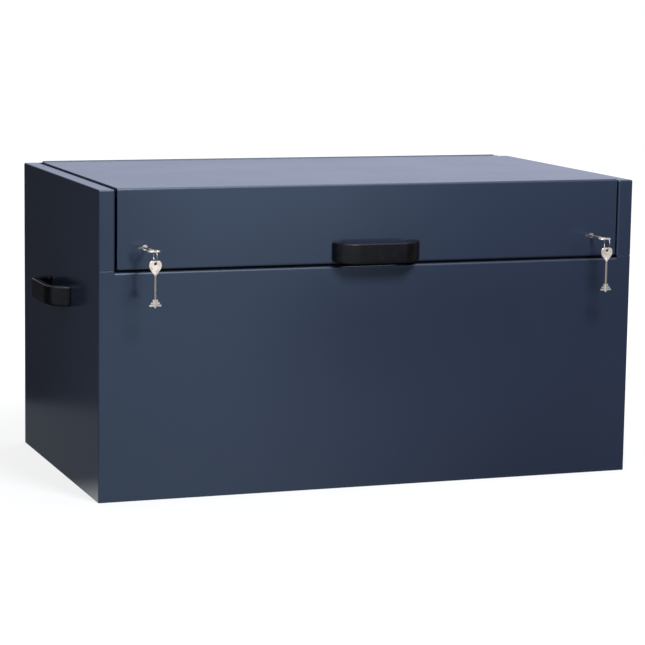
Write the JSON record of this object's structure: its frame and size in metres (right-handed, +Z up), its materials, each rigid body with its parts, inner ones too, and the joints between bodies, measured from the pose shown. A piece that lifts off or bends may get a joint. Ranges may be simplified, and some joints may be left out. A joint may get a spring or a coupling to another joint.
{
  "type": "site security box",
  "caption": "Sheet steel site tool chest with folded drop-front lid between raised side rims, key locks, gas struts, rear hinge and plastic bridge handles.",
  "frame": {"origin": "on the ground, under the middle of the chest's body", "axes": "+Z up, +X to the right seen from the front, -Y out of the front"},
  "size_m": [1.296, 0.7507, 0.6491],
  "materials": {
    "slate_paint": "gloss slate-blue powder coat",
    "handle_plastic": "satin black moulded nylon",
    "zinc_steel": "bright zinc plate",
    "lock_steel": "ground steel",
    "key_nickel": "satin nickel over brass",
    "ring_steel": "polished wire",
    "strut_black": "semi-gloss black",
    "strut_chrome": "hard chrome",
    "seal_rubber": "black foam rubber"
  },
  "bodies": {
    "chest": {"back_panel": "slate_paint", "base_panel": "slate_paint", "front_panel": "slate_paint", "front_rail": "slate_paint", "hinge_body_leaf": "slate_paint", "hinge_pin": "zinc_steel", "left_bolt_keep": "zinc_steel", "left_handle": "handle_plastic", "left_rebate_ledge": "slate_paint", "left_side_panel": "slate_paint", "left_strut_wall_bracket": "zinc_steel", "left_strut_wall_stud": "zinc_steel", "lid_seal": "seal_rubber", "right_bolt_keep": "zinc_steel", "right_handle": "handle_plastic", "right_rebate_ledge": "slate_paint", "right_side_panel": "slate_paint", "right_strut_wall_bracket": "zinc_steel", "right_strut_wall_stud": "zinc_steel", "side_handle_bolts": "zinc_steel", "side_handle_washers": "zinc_steel"},
    "lid": {"front_handle": "handle_plastic", "front_handle_bolts": "zinc_steel", "front_handle_washers": "zinc_steel", "hinge_lid_leaf": "slate_paint", "left_keyhole_plate": "zinc_steel", "left_lid_cheek": "slate_paint", "left_lock_case": "zinc_steel", "left_lock_levers": "lock_steel", "left_lock_nuts": "zinc_steel", "left_strut_lid_bracket": "zinc_steel", "left_strut_lid_stud": "zinc_steel", "lid_skin": "slate_paint", "lid_stiffeners": "slate_paint", "right_keyhole_plate": "zinc_steel", "right_lid_cheek": "slate_paint", "right_lock_case": "zinc_steel", "right_lock_levers": "lock_steel", "right_lock_nuts": "zinc_steel", "right_strut_lid_bracket": "zinc_steel", "right_strut_lid_stud": "zinc_steel"},
    "left_key_ring": {"left_key_ring": "ring_steel"},
    "left_lock_bolt": {"left_lock_bolt": "lock_steel"},
    "left_lock_drum": {"left_lock_drum": "lock_steel"},
    "left_lock_key": {"left_lock_key": "key_nickel"},
    "left_spare_key": {"left_spare_key": "key_nickel"},
    "left_strut_cylinder": {"left_strut_cylinder": "strut_black"},
    "left_strut_rod": {"left_strut_rod": "strut_chrome"},
    "right_key_ring": {"right_key_ring": "ring_steel"},
    "right_lock_bolt": {"right_lock_bolt": "lock_steel"},
    "right_lock_drum": {"right_lock_drum": "lock_steel"},
    "right_lock_key": {"right_lock_key": "key_nickel"},
    "right_spare_key": {"right_spare_key": "key_nickel"},
    "right_strut_cylinder": {"right_strut_cylinder": "strut_black"},
    "right_strut_rod": {"right_strut_rod": "strut_chrome"}
  },
  "joints": [
    {"name": "lid_hinge", "type": "hinge", "parent": "chest", "child": "lid", "pos_m": [0, 0.324, 0.6436], "axis": [-1, 0, 0], "range_deg": [0, 85]},
    {"name": "left_strut_swing", "type": "hinge", "parent": "chest", "child": "left_strut_cylinder", "pos_m": [-0.53, 0.27202, 0.39906], "axis": [-1, 0, 0], "range_deg": [0, 43]},
    {"name": "left_strut_rod_swing", "type": "hinge", "parent": "lid", "child": "left_strut_rod", "pos_m": [-0.53, 0.07643, 0.60881], "axis": [-1, 0, 0], "range_deg": [-43, 0]},
    {"name": "left_key_turn", "type": "hinge", "parent": "lid", "child": "left_lock_drum", "pos_m": [-0.503, -0.315, 0.5255], "axis": [0, 1, 0], "range_deg": [0, 360]},
    {"name": "left_key_pull", "type": "slide", "parent": "left_lock_drum", "child": "left_lock_key", "axis": [0, -1, 0], "range_m": [0, 0.06]},
    {"name": "left_ring_slip", "type": "hinge", "parent": "left_lock_key", "child": "left_key_ring", "pos_m": [-0.503, -0.40665, 0.5166], "axis": [1, 0, 0], "range_deg": [-25, 40]},
    {"name": "left_spare_swing", "type": "hinge", "parent": "left_key_ring", "child": "left_spare_key", "pos_m": [-0.503, -0.40665, 0.5034], "axis": [0, 1, 0], "range_deg": [-50, 50]},
    {"name": "left_bolt_throw", "type": "slide", "parent": "lid", "child": "left_lock_bolt", "axis": [-1, 0, 0], "range_m": [0, 0.024]},
    {"name": "right_strut_swing", "type": "hinge", "parent": "chest", "child": "right_strut_cylinder", "pos_m": [0.53, 0.27202, 0.39906], "axis": [-1, 0, 0], "range_deg": [0, 43]},
    {"name": "right_strut_rod_swing", "type": "hinge", "parent": "lid", "child": "right_strut_rod", "pos_m": [0.53, 0.07643, 0.60881], "axis": [-1, 0, 0], "range_deg": [-43, 0]},
    {"name": "right_key_turn", "type": "hinge", "parent": "lid", "child": "right_lock_drum", "pos_m": [0.503, -0.315, 0.5255], "axis": [0, -1, 0], "range_deg": [0, 360]},
    {"name": "right_key_pull", "type": "slide", "parent": "right_lock_drum", "child": "right_lock_key", "axis": [0, -1, 0], "range_m": [0, 0.06]},
    {"name": "right_ring_slip", "type": "hinge", "parent": "right_lock_key", "child": "right_key_ring", "pos_m": [0.503, -0.40665, 0.5166], "axis": [1, 0, 0], "range_deg": [-25, 40]},
    {"name": "right_spare_swing", "type": "hinge", "parent": "right_key_ring", "child": "right_spare_key", "pos_m": [0.503, -0.40665, 0.5034], "axis": [0, 1, 0], "range_deg": [-50, 50]},
    {"name": "right_bolt_throw", "type": "slide", "parent": "lid", "child": "right_lock_bolt", "axis": [1, 0, 0], "range_m": [0, 0.024]}
  ],
  "couplings": [
    {"joint": "left_strut_swing", "follows": "lid_hinge", "ratio": 0.5},
    {"joint": "left_strut_rod_swing", "follows": "lid_hinge", "ratio": -0.5},
    {"joint": "left_key_turn", "follows": "left_bolt_throw", "rad_per_m": 261.79},
    {"joint": "right_strut_swing", "follows": "lid_hinge", "ratio": 0.5},
    {"joint": "right_strut_rod_swing", "follows": "lid_hinge", "ratio": -0.5},
    {"joint": "right_key_turn", "follows": "right_bolt_throw", "rad_per_m": 261.79}
  ]
}
